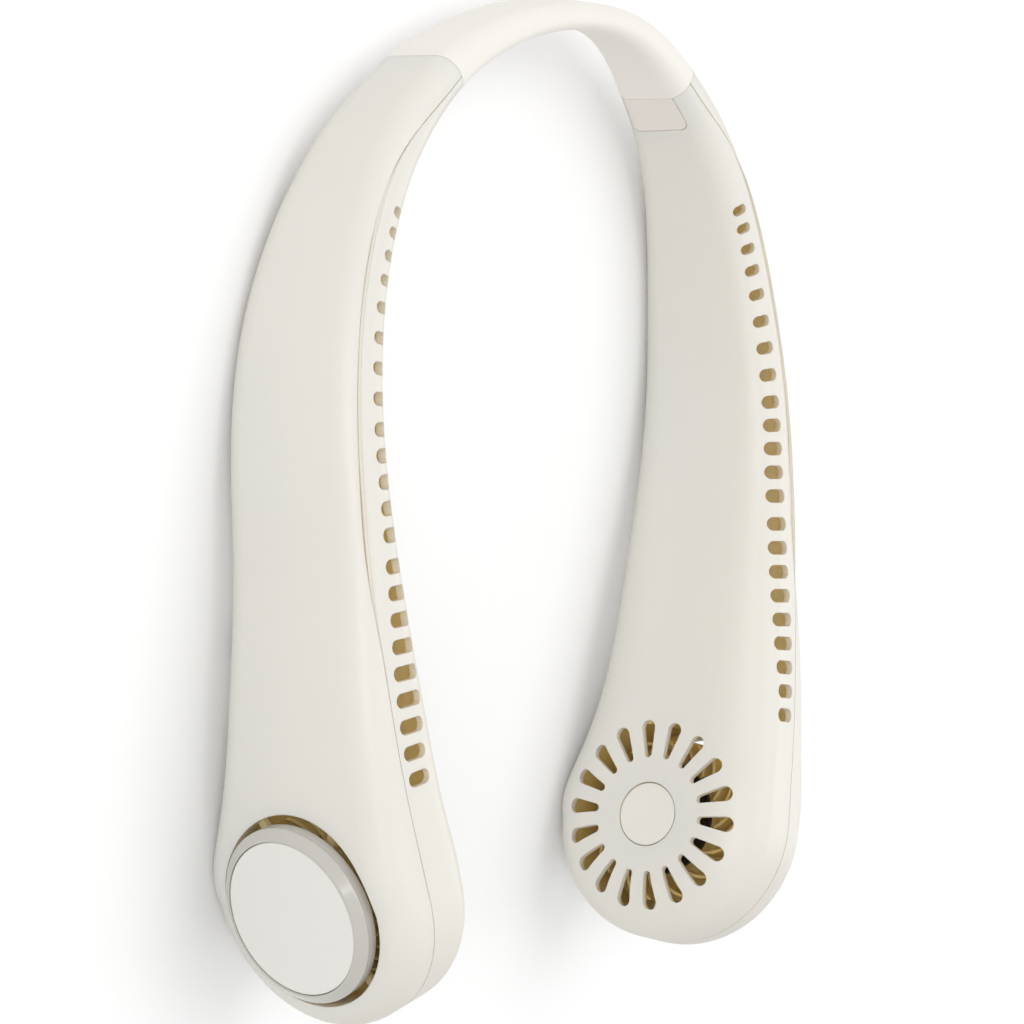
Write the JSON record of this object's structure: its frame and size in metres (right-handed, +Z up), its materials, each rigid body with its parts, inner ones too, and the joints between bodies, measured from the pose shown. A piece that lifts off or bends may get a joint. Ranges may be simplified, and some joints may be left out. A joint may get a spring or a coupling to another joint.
{
  "type": "electric neck fan",
  "caption": "Bladeless-style electric neck fan: a soft band joins hollow arms with vent slots along their upper edges, each ending in a round fan pod with a cap and a slotted grille.",
  "frame": {"origin": "middle of the bounding box on the table the fan lies on", "axes": "+X to the wearer's left, +Y towards the neck band, +Z up from the table"},
  "size_m": [0.1878, 0.246, 0.0637],
  "materials": {
    "shell": "satin",
    "cap": "satin",
    "trim_ring": "gloss",
    "guide": "matt",
    "silicone": "soft matt",
    "spring": "rolled",
    "cable": "matt",
    "board": "satin",
    "stator": "laminated",
    "bush": "sintered",
    "screw": "zinc plated",
    "cell": "foil",
    "lead": "satin",
    "rotor": "satin",
    "bell": "drawn",
    "magnet": "matt",
    "switch": "matt",
    "button": "satin",
    "socket": "plated",
    "light": "clear"
  },
  "bodies": {
    "band": {"neck_band": "silicone", "band_spine": "spring", "band_harness": "cable"},
    "left_arm": {"left_outer_shell": "shell", "left_inner_shell": "shell", "left_intake_cap": "cap", "left_cap_ring": "trim_ring", "left_cap_base": "cap", "left_intake_guard": "guide", "left_grille_insert": "shell", "left_screw_cover": "shell", "left_air_guide": "guide", "left_motor_board": "board", "left_motor_stator": "stator", "left_shaft_bush": "bush", "left_motor_screws": "screw", "left_band_screws": "screw", "left_band_anchor": "guide", "left_battery": "cell", "left_motor_leads": "lead"},
    "right_arm": {"right_outer_shell": "shell", "right_inner_shell": "shell", "right_intake_cap": "cap", "right_cap_ring": "trim_ring", "right_cap_base": "cap", "right_intake_guard": "guide", "right_grille_insert": "shell", "right_screw_cover": "shell", "right_air_guide": "guide", "right_motor_board": "board", "right_motor_stator": "stator", "right_shaft_bush": "bush", "right_motor_screws": "screw", "right_band_screws": "screw", "right_band_anchor": "guide", "right_battery": "cell", "right_motor_leads": "lead", "control_board": "board", "tact_switch": "switch", "usb_socket": "socket", "status_light": "light"},
    "left_impeller": {"left_impeller": "rotor", "left_rotor_bell": "bell", "left_rotor_magnet": "magnet"},
    "right_impeller": {"right_impeller": "rotor", "right_rotor_bell": "bell", "right_rotor_magnet": "magnet"},
    "power_button": {"power_button": "button"}
  },
  "joints": [
    {"name": "left_arm_flex", "type": "hinge", "parent": "band", "child": "left_arm", "pos_m": [0.02562, 0.11539, 0.02074], "axis": [0, 0.2019, 0.9794], "range_deg": [-8, 20], "stiffness_Nm_per_rad": 2.4, "deforming": ["neck_band", "band_spine", "band_harness"]},
    {"name": "right_arm_flex", "type": "hinge", "parent": "band", "child": "right_arm", "pos_m": [-0.02562, 0.11539, 0.02074], "axis": [0, -0.2019, -0.9794], "range_deg": [-8, 20], "stiffness_Nm_per_rad": 2.4, "deforming": ["neck_band", "band_spine", "band_harness"]},
    {"name": "left_impeller_spin", "type": "hinge", "parent": "left_arm", "child": "left_impeller", "pos_m": [0.0699, -0.0905, 0.03234], "axis": [0.9637, -0.2656, -0.0271], "continuous": true},
    {"name": "right_impeller_spin", "type": "hinge", "parent": "right_arm", "child": "right_impeller", "pos_m": [-0.0699, -0.0905, 0.03234], "axis": [-0.9637, -0.2656, -0.0271], "continuous": true},
    {"name": "button_press", "type": "slide", "parent": "right_arm", "child": "power_button", "axis": [-0.0683, 0.0215, 0.9974], "range_m": [0, 0.0005], "stiffness_N_per_m": 400}
  ]
}
